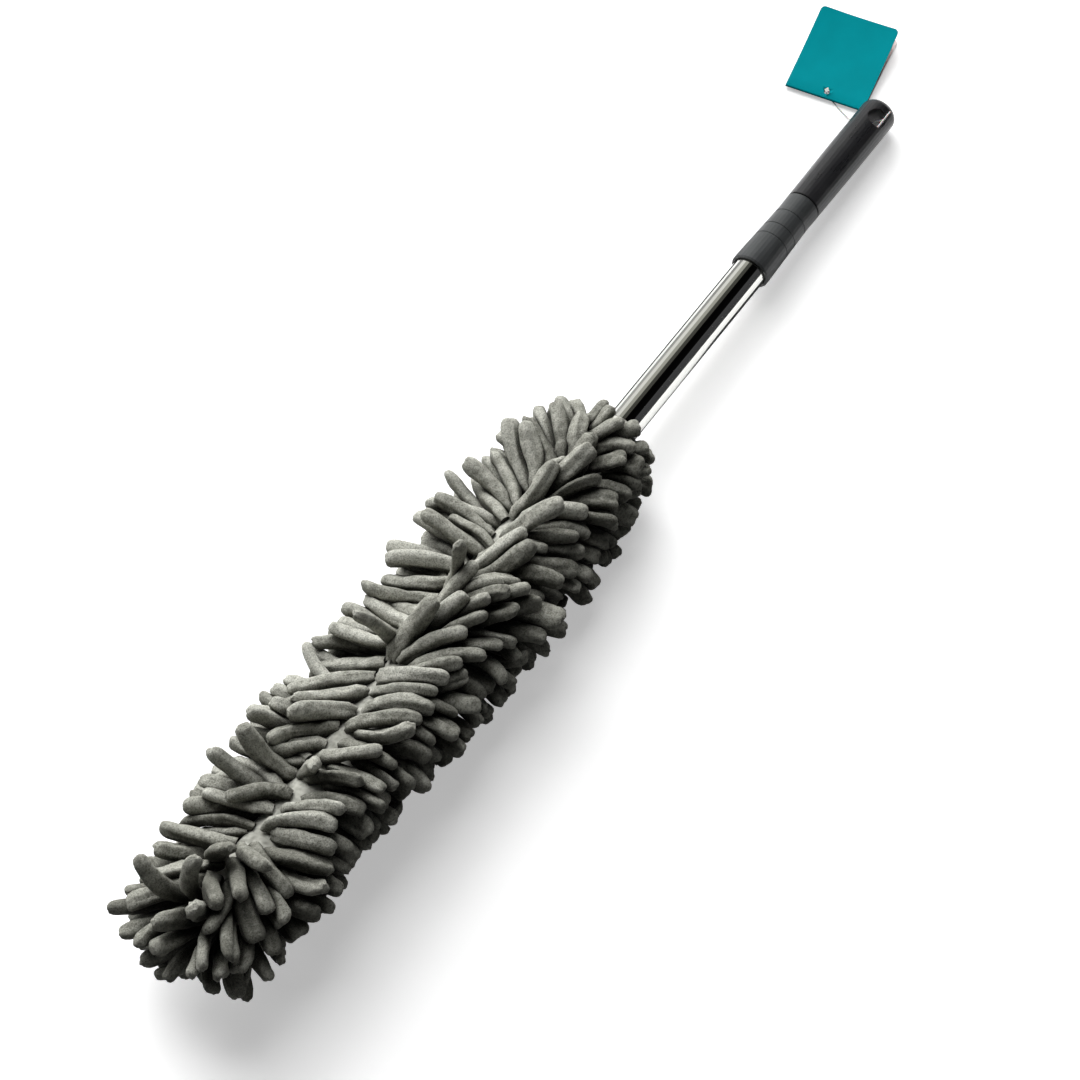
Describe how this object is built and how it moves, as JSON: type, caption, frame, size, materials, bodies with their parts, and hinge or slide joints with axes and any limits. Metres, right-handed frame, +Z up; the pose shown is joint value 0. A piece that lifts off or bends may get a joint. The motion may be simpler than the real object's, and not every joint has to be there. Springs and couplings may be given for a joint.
{
  "type": "microfiber duster",
  "caption": "Telescopic duster lying flat: plastic grip with a hang hole, collar, steel tube with a twist lock, and a long chenille head; a folded card tag hangs from the grip.",
  "frame": {"origin": "centre of the bottom of the duster's box, on the surface that it lies on", "axes": "+X from the head towards the grip's end, +Z up, +Y to the side where the card lies"},
  "size_m": [0.7068, 0.1134, 0.0909],
  "materials": {
    "grip_plastic": "glossy moulded black",
    "collar_plastic": "fine matt moulded grey",
    "chromed_steel": "bright plated",
    "bare_steel": "plain",
    "lock_plastic": "natural white",
    "socket_plastic": "moulded black",
    "core_foam": "open foam",
    "chenille": "thick chenille microfiber",
    "elastic": "woven elastic",
    "card": "printed matt card, pale inside",
    "nylon": "translucent white"
  },
  "bodies": {
    "handle": {"grip": "grip_plastic", "grip_collar": "collar_plastic", "outer_tube": "chromed_steel", "tube_mouth_bush": "lock_plastic", "tag_pin_bar": "nylon"},
    "guide": {"guide_ring": "lock_plastic"},
    "pole": {"inner_tube": "chromed_steel", "lock_plug": "lock_plastic", "lock_end_cap": "lock_plastic", "lock_screw": "bare_steel", "plug_pin": "bare_steel", "head_socket": "socket_plastic", "socket_rivet": "bare_steel", "core_wire": "bare_steel", "core_foam": "core_foam", "core_tip_cap": "socket_plastic", "sleeve_hem": "chenille", "elastic_band": "elastic", "noodle_sleeve_01": "chenille", "noodle_sleeve_02": "chenille", "noodle_sleeve_03": "chenille", "noodle_sleeve_04": "chenille", "noodle_sleeve_05": "chenille", "noodle_sleeve_06": "chenille", "noodle_sleeve_07": "chenille", "noodle_sleeve_08": "chenille", "noodle_sleeve_tip": "chenille"},
    "cam": {"cam_ring": "lock_plastic"},
    "tag": {"hang_tag": "card", "tag_pin_tail": "nylon"}
  },
  "joints": [
    {"name": "pole_slide", "type": "slide", "parent": "handle", "child": "guide", "axis": [-0.9982, 0, 0.0593], "range_m": [0, 0.1161]},
    {"name": "twist_lock", "type": "hinge", "parent": "guide", "child": "pole", "pos_m": [0.29832, -0.00949, 0.01004], "axis": [-0.9982, 0, 0.0593], "range_deg": [0, 28]},
    {"name": "cam_ring_turn", "type": "hinge", "parent": "pole", "child": "cam", "pos_m": [0.29835, -0.00949, 0.01064], "axis": [-0.9982, 0, 0.0593], "range_deg": [-28, 0]},
    {"name": "tag_swing", "type": "hinge", "parent": "handle", "child": "tag", "pos_m": [0.28684, -0.00094, 0.0038], "axis": [0.9982, 0, -0.0593], "range_deg": [-80, 30]}
  ],
  "couplings": [
    {"joint": "cam_ring_turn", "follows": "twist_lock", "ratio": -1}
  ]
}
